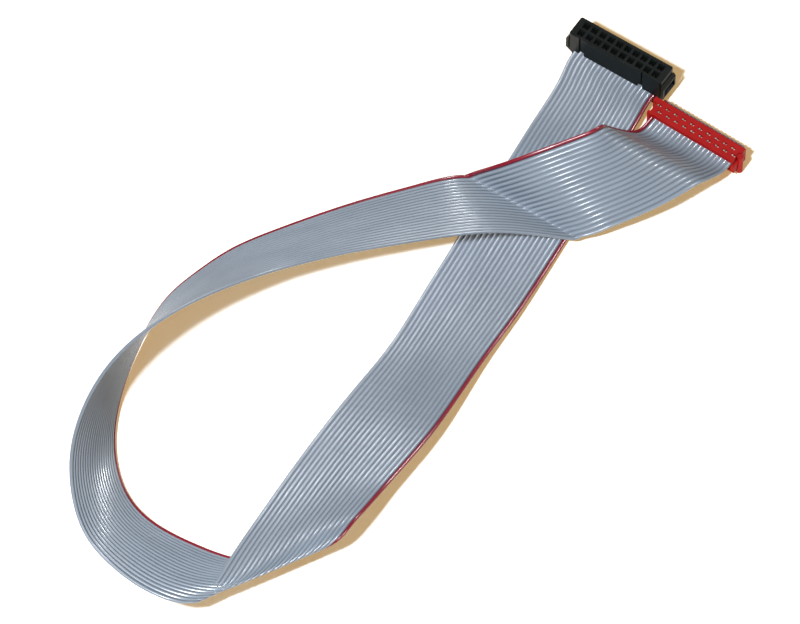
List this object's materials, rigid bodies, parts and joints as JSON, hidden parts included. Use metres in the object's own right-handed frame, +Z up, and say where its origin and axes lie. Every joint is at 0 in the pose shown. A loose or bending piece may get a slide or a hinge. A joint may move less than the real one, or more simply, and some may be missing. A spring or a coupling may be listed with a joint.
{
  "type": "ribbon cable",
  "caption": "Flat ribbon cable lying in a loose loop, with a two-row pin socket on one end and a staggered micro plug on the other.",
  "frame": {"origin": "middle of the lying cable's footprint, on the surface it lies on", "axes": "+Z up; the socket lies towards +X +Y and the crease of the loop towards -Y"},
  "size_m": [0.1701, 0.175, 0.0268],
  "materials": {
    "wire_grey": "ribbed blue-grey PVC insulation",
    "wire_red": "red PVC insulation",
    "socket_plastic": "black moulded plastic",
    "plug_plastic": "red moulded plastic",
    "contact_metal": "tin-plated spring strip"
  },
  "bodies": {
    "root": {"ribbon": "wire_grey", "marker_wire": "wire_red", "socket_body": "socket_plastic", "socket_cover": "socket_plastic", "socket_contacts": "contact_metal", "plug_housing": "plug_plastic", "plug_cover": "plug_plastic", "plug_contacts": "contact_metal"}
  },
  "joints": []
}
